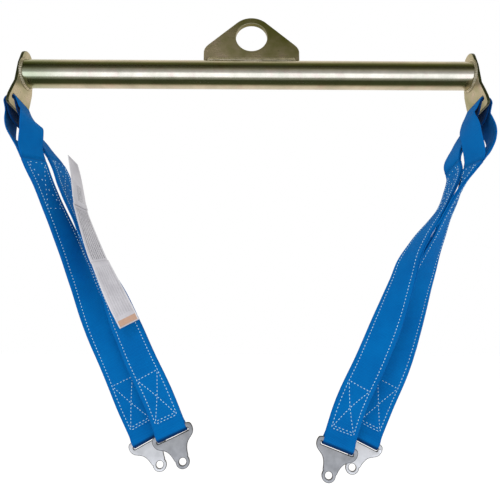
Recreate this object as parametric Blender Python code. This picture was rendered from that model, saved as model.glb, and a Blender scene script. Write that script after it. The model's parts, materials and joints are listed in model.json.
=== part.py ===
"""Lifting spreader bar: a round tube with a lifting eye and two slotted end plates, and four
webbing slings that hang from the slots in two nested pairs, each with a small steel end link.

Dimensions are in millimetres and angles in degrees. The origin is the centre of the eye's hole,
+X runs along the bar, +Y to the back and +Z up.
"""

import math

import bmesh
import bpy
import numpy as np
from mathutils import Vector
from mathutils.geometry import tessellate_polygon

MM = 0.001
GAP = 0.3  # between pieces that touch

# Bar
AXIS_Z = -71.0  # of the tube, below the eye's hole
BAR_MID_X = -5.0  # the eye is welded a little off the middle
TUBE_R = 23.0
TUBE_WALL = 3.0
TUBE_HALF = 375.0
TUBE_SIDES = 64
WELD_SIDES = 48

# Lifting eye
EYE_T = 8.0
EYE_HOLE_R = 27.0
EYE_CROWN_R = 38.0
EYE_HALF_BASE = 81.5
EYE_SHOULDER = (74.0, -14.8)  # where the sloping side ends, before its rounded corner
EYE_CORNER = ((77.5, -18.5), (80.3, -23.0), (81.5, -28.0))  # the rounded corner, down to the side
EYE_FOOT = 3.0  # chamfer at the base
WELD_LEG = 8.0
WELD_INSET = 6.0  # of the eye's welds from the ends of its base
END_WELD_LEG = 4.0

# End plates: half-width against height over the tube's axis
PLATE_T = 5.0
PLATE_SIDE = (
    (17.0, 26.0), (22.0, 8.0), (23.8, -10.0), (25.5, -27.0), (28.5, -42.0), (30.3, -54.0),
    (30.3, -62.0), (28.3, -66.5), (24.0, -68.5),
)
PLATE_TOP = 40.0
BEND_Z = -27.0
FLARE = 11.0
SLOT_HALF = 23.8
SLOT_TOP = -50.2
SLOT_CORNER = 1.4
SLOT_BAR_Z = -62.0  # middle of the lower bar, where the slings turn
SLOT_BAR_HALF = 4.5

# Webbing
WEB_W = 44.5
PLY = 2.5
COVER_R = 8.55  # inner radius of the loop that lies on top
NESTED_R = 5.65  # inner radius of the loop under it
EYE_LOOP_END = 104.0
LOOP_STEP = 8.0  # between the sections of an eye loop
FOLD_AT = 430.0  # along each sling, where its tail folds
SLEEVE_HALF = 2.7
END_LOOP = 16.0  # plain webbing above the link's bar
# Section of a sleeve, as shares of half its width and half its thickness
SLEEVE_SECTION = (
    (-1, -0.5), (-0.62, -1), (0.62, -1), (1, -0.5), (1, 0.5), (0.62, 1), (-0.62, 1), (-1, 0.5),
)
SLEEVE_THIN = 0.8  # thickness factor at the sleeve's upper end
UPPER_STEP = 14.0  # between the sections of an upper sleeve
TAIL_STEP = 20.0  # between the sections of a tail
# Rounded end of a tail at the fold: distance and thickness, as shares of half the sleeve
TAIL_NOSE = ((-1.0, 0.25), (-0.88, 0.5), (-0.5, 0.86), (0.0, 1.0))
LINK_LOOP_R = 4.1

# Openings of an eye loop: distance along the sling, outer and inner ply off its centreline
COVER_OPENING = {
    "left": ((12, 10.2, 11.4), (34, 12.5, 17.5), (54, 11.5, 20), (72, 7, 14), (88, 2.8, 4.4)),
    "right": ((12, 10.2, 11.4), (34, 13.5, 16), (54, 15, 16), (72, 13, 12.5), (88, 7, 7)),
}
NESTED_OPENING = ((12, 6.8, 6.8), (34, 6.0, 6.0), (54, 4.6, 4.6), (72, 3.4, 3.4), (88, 2.0, 2.0))

# Each sling from its slot: drop, distance inwards, depth, and turn (90 across the bar, 0 or 180
# facing the front). The last row is the middle of its link's bar.
COURSES = {
    "left_outer": (
        (0, 0, 0, 90), (9, 3, 0, 90), (18, 6, 0, 88), (58, 26, -13, 64), (100, 45, -13, 59),
        (149, 69, -12, 66), (196, 91, -6, 62), (227, 105, 0, 55), (257, 118, 4, 50),
        (291, 133, 7, 40), (364, 165, 8, 14), (407, 187, 8, 3), (470, 218, 8, 0),
        (514, 242, 8, 0),
    ),
    "left_inner": (
        (0, 0, 0, 90), (9, 3, 0, 90), (18, 6, 0, 90), (54, 34, 31, 84), (80, 56, 36, 78),
        (138, 87, 19, 82), (167, 100, 10, 90), (194, 113, 2, 100), (228, 129, -6, 111),
        (260, 150, -11, 126), (291, 172, -11, 144), (364, 209, -9, 173), (407, 230, -8, 180),
        (459, 258, -8, 180), (505, 279, -8, 180),
    ),
    "right_outer": (
        (0, 0, 0, 90), (9, 3, 0, 90), (18, 6, 0, 90), (58, 14, -14, 78), (96, 23, -14, 74),
        (122, 38, -14, 88), (146, 51, -12, 108), (193, 75, -5, 121), (224, 88, 2, 131),
        (255, 102, 6, 145), (286, 116, 8, 158), (362, 145, 8, 176), (406, 162, 8, 180),
        (471, 195, 8, 180), (516, 217, 8, 180),
    ),
    "right_inner": (
        (0, 0, 0, 90), (9, 3, 0, 90), (18, 6, 0, 90), (52, 23, 30, 88), (77, 36, 35, 82),
        (105, 38, 29, 86), (135, 52, 19, 90), (164, 69, 10, 92), (191, 90, 3, 84),
        (225, 118, -5, 73), (258, 139, -10, 62), (289, 151, -9, 54), (363, 183, -8, 22),
        (406, 204, -8, 10), (473, 239, -8, 2), (521, 257, -8, 0),
    ),
}

# End links: half-outline, off the middle and over the bar that the webbing turns on
LINK_T = 3.0
LINK_BAR_HALF = 3.4
LINK_SLOT_HALF = 23.6
LINK_SLOT_BASE = -7.6
LINK_FLANK = (
    (24.0, 3.4), (28.2, 1.6), (29.8, -3.0), (29.2, -9.0), (26.6, -13.5), (21.5, -17.2),
    (16.5, -21.0), (13.0, -26.5), (11.2, -32.0), (10.1, -38.0),
)
LINK_SLOT_CORNER = 1.0
LINK_EYE_Z = -42.0
LINK_END_R = 9.8
LINK_HOLE_R = 5.0

# Label: its own course from the left slot, and the panels along it
LABEL_W = 30.0
LABEL_T = 0.6
LABEL_SECTIONS = 16  # in each panel
LABEL_COURSE = (
    (99, 106, -11, 84), (144, 120, -19, 76), (189, 135, -30, 68), (240, 158, -38, 56),
    (285, 179, -38, 44), (320, 197, -34, 24), (357, 216, -26, 8),
)
LABEL_PANELS = {
    "label_upper": (0, 90, 0.0), "label_middle": (88, 186, -1.2), "label_lower": (184, 290, 0.0),
}

PLAN = {
    "zinc_tube": ((0.52, 0.47, 0.36), 0.9, 0.32),
    "zinc_plate": ((0.36, 0.31, 0.20), 0.8, 0.40),
    "weld_bead": ((0.45, 0.38, 0.26), 0.8, 0.5),
    "blue_webbing": ((0.0, 0.13, 0.46), 0.0, 0.85),
    "blue_sleeve": ((0.0, 0.15, 0.5), 0.0, 0.85),
    "link_steel": ((0.62, 0.62, 0.63), 0.9, 0.35),
    "label_cloth": ((0.62, 0.6, 0.64), 0.0, 0.7),
}


def clear_scene():
    for thing in list(bpy.data.objects):
        bpy.data.objects.remove(thing)


def make_material(name):
    colour, metallic, roughness = PLAN[name]
    made = bpy.data.materials.new(name)
    made.use_nodes = True
    shader = made.node_tree.nodes["Principled BSDF"]
    shader.inputs["Base Color"].default_value = (*colour, 1.0)
    shader.inputs["Metallic"].default_value = metallic
    shader.inputs["Roughness"].default_value = roughness
    return made


def add_piece(name, points, faces, slot, pivot=(0.0, 0.0, 0.0)):
    """One object from points in millimetres, with its origin on the pivot and its normals out."""
    mesh = bpy.data.meshes.new(name)
    pivot = Vector(pivot)
    mesh.from_pydata([(Vector(p) - pivot) * MM for p in points], [], faces)
    mesh.materials.append(bpy.data.materials.get(slot) or make_material(slot))
    work = bmesh.new()
    work.from_mesh(mesh)
    bmesh.ops.recalc_face_normals(work, faces=work.faces)
    work.to_mesh(mesh)
    work.free()
    made = bpy.data.objects.new(name, mesh)
    made.location = pivot * MM
    bpy.context.collection.objects.link(made)
    return made


def hermite(values, slopes, cell, wide, t):
    """Cubic curve through values with given slopes, at shares t of the chosen cells."""
    return (
        (2 * t**3 - 3 * t**2 + 1) * values[cell] + (t**3 - 2 * t**2 + t) * wide * slopes[cell]
        + (3 * t**2 - 2 * t**3) * values[cell + 1] + (t**3 - t**2) * wide * slopes[cell + 1]
    )


def smooth_rows(rows, step):
    """Points about a step apart on a smooth curve through the rows, by chord length."""
    rows = np.array(rows, float)
    span = np.linalg.norm(np.diff(rows[:, :3], axis=0), axis=1)
    knots = np.concatenate([[0.0], np.cumsum(span)])
    at = np.linspace(0.0, knots[-1], int(knots[-1] / step) + 2)
    cell = np.clip(np.searchsorted(knots, at, side="right") - 1, 0, len(span) - 1)
    wide = span[cell][:, None]
    t = ((at - knots[cell]) / span[cell])[:, None]
    return hermite(rows, np.gradient(rows, knots, axis=0), cell, wide, t)


def slot_point(side):
    """Middle of the lower bar of one end plate's slot."""
    out, up = bend_outwards(0.0, SLOT_BAR_Z)
    across = TUBE_HALF + GAP + PLATE_T / 2 + out
    return np.array([BAR_MID_X + side * across, 0.0, AXIS_Z + up])


class Course:
    """The centreline of a sling or label, with the direction of its width along it."""

    def __init__(self, side, rows):
        dense = smooth_rows(rows, 1.0)
        self.side = side
        self.points = slot_point(side) + np.stack(
            [-side * dense[:, 1], dense[:, 2], -dense[:, 0]], axis=1
        )
        self.turn = np.radians(dense[:, 3])
        hops = np.linalg.norm(np.diff(self.points, axis=0), axis=1)
        self.along = np.concatenate([[0.0], np.cumsum(hops)])
        self.length = float(self.along[-1])

    def centre(self, s):
        inside = min(max(s, 0.0), self.length)
        point = np.array([np.interp(inside, self.along, self.points[:, k]) for k in range(3)])
        return point + (s - inside) * self.direction(inside)

    def direction(self, s):
        low, high = max(s - 2.0, 0.0), min(s + 2.0, self.length)
        ends = [
            np.array([np.interp(x, self.along, self.points[:, k]) for k in range(3)])
            for x in (low, high)
        ]
        return (ends[1] - ends[0]) / np.linalg.norm(ends[1] - ends[0])

    def axes(self, s):
        """Unit vectors along the sling, across its width and off its face, inwards at the top."""
        inside = min(max(s, 0.0), self.length)
        down = self.direction(inside)
        turn = float(np.interp(inside, self.along, self.turn))
        wide = np.array([-self.side * math.cos(turn), math.sin(turn), 0.0])
        wide = wide - wide.dot(down) * down
        wide = wide / np.linalg.norm(wide)
        return down, wide, -self.side * np.cross(down, wide)

    def place(self, s, off, across):
        _, wide, face = self.axes(s)
        return self.centre(s) + off * face + across * wide


def ring_faces(rings, sides, closed):
    """Quads between successive rings, and end caps unless the last ring meets the first."""
    faces = []
    for i in range(rings if closed else rings - 1):
        a, b = i * sides, (i + 1) % rings * sides
        faces += [(a + k, a + (k + 1) % sides, b + (k + 1) % sides, b + k) for k in range(sides)]
    if not closed:
        faces += [tuple(range(sides)), tuple(range((rings - 1) * sides, rings * sides))]
    return faces


def arc(centre, radius, start, end, steps):
    angles = np.radians(np.linspace(start, end, steps + 1))
    return [(centre[0] + radius * math.cos(a), centre[1] + radius * math.sin(a)) for a in angles]


def half_turn(radius, steps):
    """Half a circle as (distance ahead, offset), from the positive offset to the negative."""
    angles = np.radians(np.linspace(0, 180, steps + 1))
    return [(radius * math.sin(a), radius * math.cos(a)) for a in angles]


def plate_mesh(outline, holes, thick):
    """Points and faces of a flat plate: its outline is in the plane, its thickness is centred."""
    loops = [[Vector((x, y, 0.0)) for x, y in loop] for loop in (outline, *holes)]
    flat = [p for loop in loops for p in loop]
    count = len(flat)
    caps = tessellate_polygon(loops)
    points = [(p.x, p.y, z) for z in (-thick / 2, thick / 2) for p in flat]
    faces = [tuple(f) for f in caps] + [tuple(i + count for i in reversed(f)) for f in caps]
    start = 0
    for loop in loops:
        size = len(loop)
        for k in range(size):
            a, b = start + k, start + (k + 1) % size
            faces.append((a, b, b + count, a + count))
        start += size
    return points, faces


def revolve(profile, sides):
    """A closed ring about the bar's axis from (x, radius) pairs."""
    points = []
    for i in range(sides):
        a = 2 * math.pi * i / sides
        points += [(x, r * math.cos(a), AXIS_Z + r * math.sin(a)) for x, r in profile]
    return points, ring_faces(sides, len(profile), True)


def build_tube():
    low, high = BAR_MID_X - TUBE_HALF, BAR_MID_X + TUBE_HALF
    bore = TUBE_R - TUBE_WALL
    ring = [(low, TUBE_R), (high, TUBE_R), (high, bore), (low, bore)]
    points, faces = revolve(ring, TUBE_SIDES)
    add_piece("bar_tube", points, faces, "zinc_tube")


def build_eye_plate():
    """A flat plate that stands on the tube, its sides sloping up to a round crown."""
    base = AXIS_Z + TUBE_R + GAP
    reach, rise = EYE_SHOULDER
    far = math.hypot(reach, rise)
    tangent = math.degrees(math.atan2(rise, reach) + math.acos(EYE_CROWN_R / far))
    crown = arc((0, 0), EYE_CROWN_R, tangent, 180 - tangent, 20)
    right = [
        (EYE_HALF_BASE - EYE_FOOT, base), (EYE_HALF_BASE, base + EYE_FOOT),
        *reversed(EYE_CORNER), EYE_SHOULDER,
    ]
    left = [(-x, z) for x, z in reversed(right)]
    hole = arc((0, 0), EYE_HOLE_R, 0, 360, 40)[:-1]
    points, faces = plate_mesh([*right, *crown, *left], [hole], EYE_T)
    add_piece("eye_plate", [(x, -y, z) for x, z, y in points], faces, "zinc_plate")


def build_eye_weld(name, side):
    """A fillet between the tube and one face of the eye plate."""
    near, seat = EYE_T / 2 + GAP, TUBE_R + GAP
    foot = [near + WELD_LEG * share for share in (0, 1 / 3, 2 / 3, 1)]
    section = [(y, math.sqrt(seat**2 - y**2)) for y in foot]
    section.append((near, section[0][1] + WELD_LEG))
    half = EYE_HALF_BASE - WELD_INSET
    points = [(x, side * y, AXIS_Z + z) for x in (-half, half) for y, z in section]
    add_piece(name, points, ring_faces(2, len(section), False), "weld_bead")


def bend_outwards(out, up):
    """Where a point of a flat end plate goes when the plate is bent below its bend line."""
    below, tilt = max(BEND_Z - up, 0.0), math.radians(FLARE)
    if below == 0.0:
        return out, up
    return (
        out * math.cos(tilt) + below * math.sin(tilt),
        BEND_Z - below * math.cos(tilt) + out * math.sin(tilt),
    )


def build_end_plate(name, side):
    """A plate across the tube's end: rounded top, slotted skirt flared outwards."""
    half = PLATE_SIDE[0][0]
    crown = arc((0, PLATE_TOP - half), half, 12, 168, 12)
    outline = [*crown, *[(-y, z) for y, z in PLATE_SIDE[1:]], *reversed(PLATE_SIDE[1:])]
    low = SLOT_BAR_Z + SLOT_BAR_HALF
    slot = [
        (SLOT_HALF - SLOT_CORNER, low), (SLOT_HALF, low + SLOT_CORNER),
        (SLOT_HALF, SLOT_TOP - SLOT_CORNER), (SLOT_HALF - SLOT_CORNER, SLOT_TOP),
    ]
    slot += [(-y, z) for y, z in reversed(slot)]
    points, faces = plate_mesh(outline, [slot], PLATE_T)
    mesh = bmesh.new()
    for p in points:
        mesh.verts.new(p)
    mesh.verts.ensure_lookup_table()
    for f in faces:
        mesh.faces.new([mesh.verts[i] for i in f])
    parts = [*mesh.verts, *mesh.edges, *mesh.faces]
    bmesh.ops.bisect_plane(mesh, geom=parts, plane_co=(0, BEND_Z, 0), plane_no=(0, 1, 0))
    mesh.verts.index_update()
    middle = TUBE_HALF + GAP + PLATE_T / 2
    placed = []
    for v in mesh.verts:
        out, up = bend_outwards(v.co.z, v.co.y)
        placed.append((BAR_MID_X + side * (middle + out), v.co.x, AXIS_Z + up))
    bent = [tuple(v.index for v in f.verts) for f in mesh.faces]
    mesh.free()
    add_piece(name, placed, bent, "zinc_plate")


def build_end_weld(name, side):
    """A fillet ring between the tube's end and its plate."""
    inner, leg = TUBE_R + GAP, END_WELD_LEG
    ring = [
        (TUBE_HALF, inner), (TUBE_HALF, inner + leg),
        (TUBE_HALF - leg * 0.45, inner + leg * 0.45), (TUBE_HALF - leg, inner),
    ]
    points, faces = revolve([(BAR_MID_X + side * x, r) for x, r in ring], WELD_SIDES)
    add_piece(name, points, faces, "weld_bead")


def band(course, path, name, slot, pivot):
    """A closed loop of webbing: one ply thick, along a closed path of (distance, offset)."""
    path = np.array(path, float)
    ahead, back = np.roll(path, -1, axis=0), np.roll(path, 1, axis=0)
    way = ahead - back
    normal = np.stack([way[:, 1], -way[:, 0]], axis=1)
    normal /= np.linalg.norm(normal, axis=1)[:, None]
    points = []
    for (s, off), (ns, no) in zip(path, normal):
        for grow, across in ((-1, -1), (1, -1), (1, 1), (-1, 1)):
            step = grow * PLY / 2
            points.append(course.place(s + step * ns, off + step * no, across * WEB_W / 2))
    add_piece(name, points, ring_faces(len(path), 4, True), slot, pivot)


def build_eye_loop(name, course, radius, opening):
    """Single ply round the slot's bar, two strands that splay and meet again at the sleeve."""
    mid = radius + PLY / 2
    close = PLY / 2 + GAP
    turn = [(-s, -off) for s, off in half_turn(mid, 10)]
    rows = np.array([(0, mid, mid), *opening, (EYE_LOOP_END - close, close, close)], float)
    at = np.arange(LOOP_STEP, EYE_LOOP_END - close, LOOP_STEP)
    ways = [smooth_line(rows[:, 0], rows[:, k], at) for k in (1, 2)]
    tip = EYE_LOOP_END - PLY / 2 - close
    inner = list(zip(at, ways[1]))
    outer = [(s, -off) for s, off in zip(at[::-1], ways[0][::-1])]
    bend = [(tip + s, off) for s, off in half_turn(close, 4)]
    path = [*turn, *inner[:-1], *bend, *outer[1:]]
    band(course, path, name, "blue_webbing", tuple(course.centre(0.0)))


def smooth_line(x, y, at):
    """A smooth curve through (x, y), read at the given places."""
    cell = np.clip(np.searchsorted(x, at, side="right") - 1, 0, len(x) - 2)
    wide = x[cell + 1] - x[cell]
    return hermite(y, np.gradient(y, x), cell, wide, (at - x[cell]) / wide)


def sleeve(name, course, stations, pivot):
    """A doubled, stuffed length of webbing: (distance, thickness factor) along the course."""
    points = [
        course.place(s, off * SLEEVE_HALF * factor, across * WEB_W / 2)
        for s, factor in stations
        for across, off in SLEEVE_SECTION
    ]
    sides = len(SLEEVE_SECTION)
    add_piece(name, points, ring_faces(len(stations), sides, False), "blue_sleeve", pivot)


def build_sling(name, side, radius, opening):
    """One sling: eye loop, upper sleeve, tail sleeve, end loop and steel link."""
    course = Course(side, COURSES[name])
    build_eye_loop(name + "_eye_loop", course, radius, opening)
    slot_bar = tuple(course.centre(0.0))
    start, stop = EYE_LOOP_END + GAP, FOLD_AT - SLEEVE_HALF - GAP
    upper = [(s, SLEEVE_THIN) for s in (start, start + UPPER_STEP)]
    upper += [(s, 1.0) for s in np.arange(start + 2 * UPPER_STEP, stop - UPPER_STEP / 2, UPPER_STEP)]
    upper.append((stop, 1.0))
    sleeve(name + "_upper", course, upper, slot_bar)
    fold = tuple(course.centre(FOLD_AT))
    bar_at = course.length
    tail_end = bar_at - END_LOOP
    tail = [(FOLD_AT + SLEEVE_HALF * s, factor) for s, factor in TAIL_NOSE]
    tail += [(s, 1.0) for s in np.arange(FOLD_AT + TAIL_STEP, tail_end - TAIL_STEP / 2, TAIL_STEP)]
    tail.append((tail_end, 1.0))
    sleeve(name + "_tail", course, tail, fold)
    build_end_loop(name + "_end_loop", course, tail_end + GAP, fold)
    build_link(name + "_link", course)


def build_end_loop(name, course, start, pivot):
    """Single ply round the link's bar."""
    mid = LINK_LOOP_R + PLY / 2
    close = PLY / 2 + GAP
    top = start + PLY / 2 + close
    bar_at = course.length
    bend = [(top - s, off) for s, off in half_turn(close, 4)]
    round_bar = [(bar_at + s, -off) for s, off in half_turn(mid, 10)]
    reach = bar_at - top
    down = [(top + 0.35 * reach, -close - 0.4), (top + 0.7 * reach, -(close + mid) / 2 - 0.6)]
    up = [(s, -off) for s, off in reversed(down)]
    band(course, [*bend, *down, *round_bar, *up], name, "blue_webbing", pivot)


def build_link(name, course):
    """Stamped link: a slotted head that tapers to a round end with one hole."""
    flank = smooth_rows([(x, z, 0.0) for x, z in LINK_FLANK], 2.5)[:, :2]
    end = arc((0, LINK_EYE_Z), LINK_END_R, 20, -200, 22)
    outline = [*map(tuple, flank), *end, *[(-x, z) for x, z in flank[::-1]]]
    top, low, half = -LINK_BAR_HALF, LINK_SLOT_BASE, LINK_SLOT_HALF
    cut = LINK_SLOT_CORNER
    slot = [(half - cut, top), (half, top - cut), (half, low + cut), (half - cut, low)]
    slot += [(-x, z) for x, z in reversed(slot)]
    hole = arc((0, LINK_EYE_Z), LINK_HOLE_R, 0, 360, 24)[:-1]
    points, faces = plate_mesh(outline, [slot, hole], LINK_T)
    bar_at = course.length
    centre = course.centre(bar_at)
    down, wide, face = course.axes(bar_at)
    placed = [centre + x * wide - z * down + off * face for x, z, off in points]
    add_piece(name, placed, faces, "link_steel", tuple(centre))


def build_label():
    """A printed strip in three panels beside the left inner sling."""
    course = Course(-1, LABEL_COURSE)
    for name, (start, stop, off) in LABEL_PANELS.items():
        places = np.linspace(start, min(stop, course.length), LABEL_SECTIONS)
        section = ((-1, -1), (0, -1), (1, -1), (1, 1), (0, 1), (-1, 1))
        points = [
            course.place(s, off + LABEL_T / 2 * b, LABEL_W / 2 * a) for s in places for a, b in section
        ]
        add_piece(name, points, ring_faces(LABEL_SECTIONS, len(section), False), "label_cloth")


def build():
    clear_scene()
    build_tube()
    build_eye_plate()
    build_eye_weld("eye_weld_front", -1)
    build_eye_weld("eye_weld_back", 1)
    for word, side in (("left", -1), ("right", 1)):
        build_end_plate(word + "_end_plate", side)
        build_end_weld(word + "_end_weld", side)
        build_sling(word + "_outer", side, COVER_R, COVER_OPENING[word])
        build_sling(word + "_inner", side, NESTED_R, NESTED_OPENING)
    build_label()


build()
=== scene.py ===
"""Looks of a lifting spreader bar with four webbing slings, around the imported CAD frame.

Courses and thicknesses are in millimetres, as in the CAD source; meshes are in metres. The origin
is the centre of the lifting eye's hole, +X runs along the bar, +Y to the back and +Z up.
"""

import json
import math

import bmesh
import bpy
import numpy as np
from mathutils import Matrix, Vector

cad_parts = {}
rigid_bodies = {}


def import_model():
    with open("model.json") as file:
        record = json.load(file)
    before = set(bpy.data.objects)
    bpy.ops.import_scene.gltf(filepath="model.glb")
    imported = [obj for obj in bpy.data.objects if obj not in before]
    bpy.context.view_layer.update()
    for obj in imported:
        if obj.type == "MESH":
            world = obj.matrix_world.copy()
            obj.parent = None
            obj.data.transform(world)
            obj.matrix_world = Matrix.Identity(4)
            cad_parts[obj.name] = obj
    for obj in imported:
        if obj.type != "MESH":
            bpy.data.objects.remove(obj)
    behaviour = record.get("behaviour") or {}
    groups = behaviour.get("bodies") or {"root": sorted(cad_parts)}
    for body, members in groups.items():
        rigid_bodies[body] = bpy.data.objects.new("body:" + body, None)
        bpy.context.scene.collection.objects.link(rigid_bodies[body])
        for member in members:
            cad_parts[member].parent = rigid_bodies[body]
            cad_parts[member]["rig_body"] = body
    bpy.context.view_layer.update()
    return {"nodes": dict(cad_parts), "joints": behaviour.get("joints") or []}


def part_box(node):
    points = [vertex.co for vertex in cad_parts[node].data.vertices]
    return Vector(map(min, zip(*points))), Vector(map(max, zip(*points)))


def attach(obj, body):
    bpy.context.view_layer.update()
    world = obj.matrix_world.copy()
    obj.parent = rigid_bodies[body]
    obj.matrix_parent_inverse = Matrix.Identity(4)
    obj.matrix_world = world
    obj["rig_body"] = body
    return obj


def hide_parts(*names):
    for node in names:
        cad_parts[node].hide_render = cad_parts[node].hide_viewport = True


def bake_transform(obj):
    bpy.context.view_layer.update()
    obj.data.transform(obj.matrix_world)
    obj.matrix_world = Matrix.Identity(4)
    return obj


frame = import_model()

MM = 0.001

# Webbing, as in the CAD
WEB_W = 44.5
PLY = 2.5
RIB_PITCH = 1.5  # of the weave, across
PICK_PITCH = 2.4  # of the weave, along
SELVEDGE = (19.5, 22.0)  # from the middle, where the edge starts to show and where it is full
COVER_R = 8.55
NESTED_R = 5.65
EYE_LOOP_END = 104.0
FOLD_AT = 430.0
END_LOOP = 16.0
LINK_LOOP_R = 4.1
HEM = 9.0  # from the sleeve's upper end down to its folded hem
TUCK = 6.0  # how far a single ply runs on inside the sleeve
BLEND = 26.0  # half the length of a span either side of FOLD_AT
STEP = 3.0  # between sections of a loop or a sleeve
TURN_STEPS = 20  # round a bar

COVER_OPENING = {
    "left": ((12, 10.2, 11.4), (34, 12.5, 17.5), (54, 11.5, 20), (72, 7, 14), (88, 2.8, 4.4)),
    "right": ((12, 10.2, 11.4), (34, 13.5, 16), (54, 15, 16), (72, 13, 12.5), (88, 7, 7)),
}
NESTED_OPENING = ((12, 6.8, 6.8), (34, 6.0, 6.0), (54, 4.6, 4.6), (72, 3.4, 3.4), (88, 2.0, 2.0))

# Each sling from its slot: drop, distance inwards, depth, and turn
COURSES = {
    "left_outer": (
        (0, 0, 0, 90), (9, 3, 0, 90), (18, 6, 0, 88), (58, 26, -13, 64), (100, 45, -13, 59),
        (149, 69, -12, 66), (196, 91, -6, 62), (227, 105, 0, 55), (257, 118, 4, 50),
        (291, 133, 7, 40), (364, 165, 8, 14), (407, 187, 8, 3), (470, 218, 8, 0),
        (514, 242, 8, 0),
    ),
    "left_inner": (
        (0, 0, 0, 90), (9, 3, 0, 90), (18, 6, 0, 90), (54, 34, 31, 84), (80, 56, 36, 78),
        (138, 87, 19, 82), (167, 100, 10, 90), (194, 113, 2, 100), (228, 129, -6, 111),
        (260, 150, -11, 126), (291, 172, -11, 144), (364, 209, -9, 173), (407, 230, -8, 180),
        (459, 258, -8, 180), (505, 279, -8, 180),
    ),
    "right_outer": (
        (0, 0, 0, 90), (9, 3, 0, 90), (18, 6, 0, 90), (58, 14, -14, 78), (96, 23, -14, 74),
        (122, 38, -14, 88), (146, 51, -12, 108), (193, 75, -5, 121), (224, 88, 2, 131),
        (255, 102, 6, 145), (286, 116, 8, 158), (362, 145, 8, 176), (406, 162, 8, 180),
        (471, 195, 8, 180), (516, 217, 8, 180),
    ),
    "right_inner": (
        (0, 0, 0, 90), (9, 3, 0, 90), (18, 6, 0, 90), (52, 23, 30, 88), (77, 36, 35, 82),
        (105, 38, 29, 86), (135, 52, 19, 90), (164, 69, 10, 92), (191, 90, 3, 84),
        (225, 118, -5, 73), (258, 139, -10, 62), (289, 151, -9, 54), (363, 183, -8, 22),
        (406, 204, -8, 10), (473, 239, -8, 2), (521, 257, -8, 0),
    ),
}

# How far the back edge of an eye loop's outer strand swings outwards
EYE_SPLAY = {"left_outer": 22.0, "right_outer": 16.0}

# Creases pressed into each sleeve: distance along, across, slant in degrees, reach, depth
CREASES = {
    "left_outer": ((452, -4, 30, 11, 1.0), (466, 8, -25, 8, 0.7), (250, 4, 15, 10, 0.6)),
    "left_inner": ((444, 5, -38, 13, 1.3), (418, -6, -15, 9, 0.6), (300, 3, 20, 10, 0.6)),
    "right_outer": ((428, 6, 35, 12, 1.1), (404, -6, 20, 9, 0.7), (270, 2, -15, 10, 0.6)),
    "right_inner": ((436, -5, -30, 12, 1.1), (410, 6, 25, 9, 0.8), (205, 4, 15, 8, 0.9)),
}

# Label beside the left inner sling
LABEL_W = 30.0
LABEL_T = 0.6
LABEL_COURSE = (
    (99, 106, -11, 84), (144, 120, -19, 76), (189, 135, -30, 68), (240, 158, -38, 56),
    (285, 179, -38, 44), (320, 197, -34, 24), (357, 216, -26, 8),
)
LABEL_PANELS = ((0, 90, 0.0), (88, 186, -1.2), (184, 290, 0.0))
LABEL_RIM = 1.8  # unprinted edge beside the band
LABEL_BAND = (274.0, 283.0)  # tan, along the strip
PRINT_PITCH = 3.4  # between rows
PRINT_MARGIN = 3.0
PRINT_DENSE, PRINT_FAINT = (94.0, 180.0), (192.0, 268.0)  # along the strip
STAMP_ALONG, STAMP_ACROSS = (50.0, 80.0), (-3.0, 8.0)

# Stitching
STITCH_PITCH = 5.0
LOOSE_PITCH = 9.5
STITCH_LENGTH = 2.7
STITCH_ARCH = ((-1.0, -0.35), (-0.72, 0.12), (0.0, 0.3), (0.72, 0.12), (1.0, -0.35))
THREAD_R = 0.44
THREAD_TAPER = (0.45, 0.95, 1.0, 0.95, 0.45)
THREAD_TURN = 1.05  # radians of the twist, over one of the thread's sides
EDGE_ROW = 6.2  # from the webbing's edge
TOP_BOX = (15.0, 97.0)  # below the sleeve's upper end
END_BOX = (69.5, 2.5)  # above the sleeve's lower end


def hermite(values, slopes, cell, wide, t):
    """A cubic between each cell's ends, at the share t of its width."""
    return (
        (2 * t**3 - 3 * t**2 + 1) * values[cell] + (t**3 - 2 * t**2 + t) * wide * slopes[cell]
        + (3 * t**2 - 2 * t**3) * values[cell + 1] + (t**3 - t**2) * wide * slopes[cell + 1]
    )


def smooth_rows(rows, step):
    """Points about a step apart on a smooth curve through the rows, by chord length."""
    rows = np.array(rows, float)
    span = np.linalg.norm(np.diff(rows[:, :3], axis=0), axis=1)
    knots = np.concatenate([[0.0], np.cumsum(span)])
    slopes = np.gradient(rows, knots, axis=0)
    at = np.linspace(0.0, knots[-1], int(knots[-1] / step) + 2)
    cell = np.clip(np.searchsorted(knots, at, side="right") - 1, 0, len(span) - 1)
    share = ((at - knots[cell]) / span[cell])[:, None]
    return hermite(rows, slopes, cell, span[cell][:, None], share)


def smooth_line(x, y, at):
    """A smooth curve through (x, y), read at the given places."""
    slopes = np.gradient(y, x)
    cell = np.clip(np.searchsorted(x, at, side="right") - 1, 0, len(x) - 2)
    wide = x[cell + 1] - x[cell]
    return hermite(y, slopes, cell, wide, (at - x[cell]) / wide)


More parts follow.
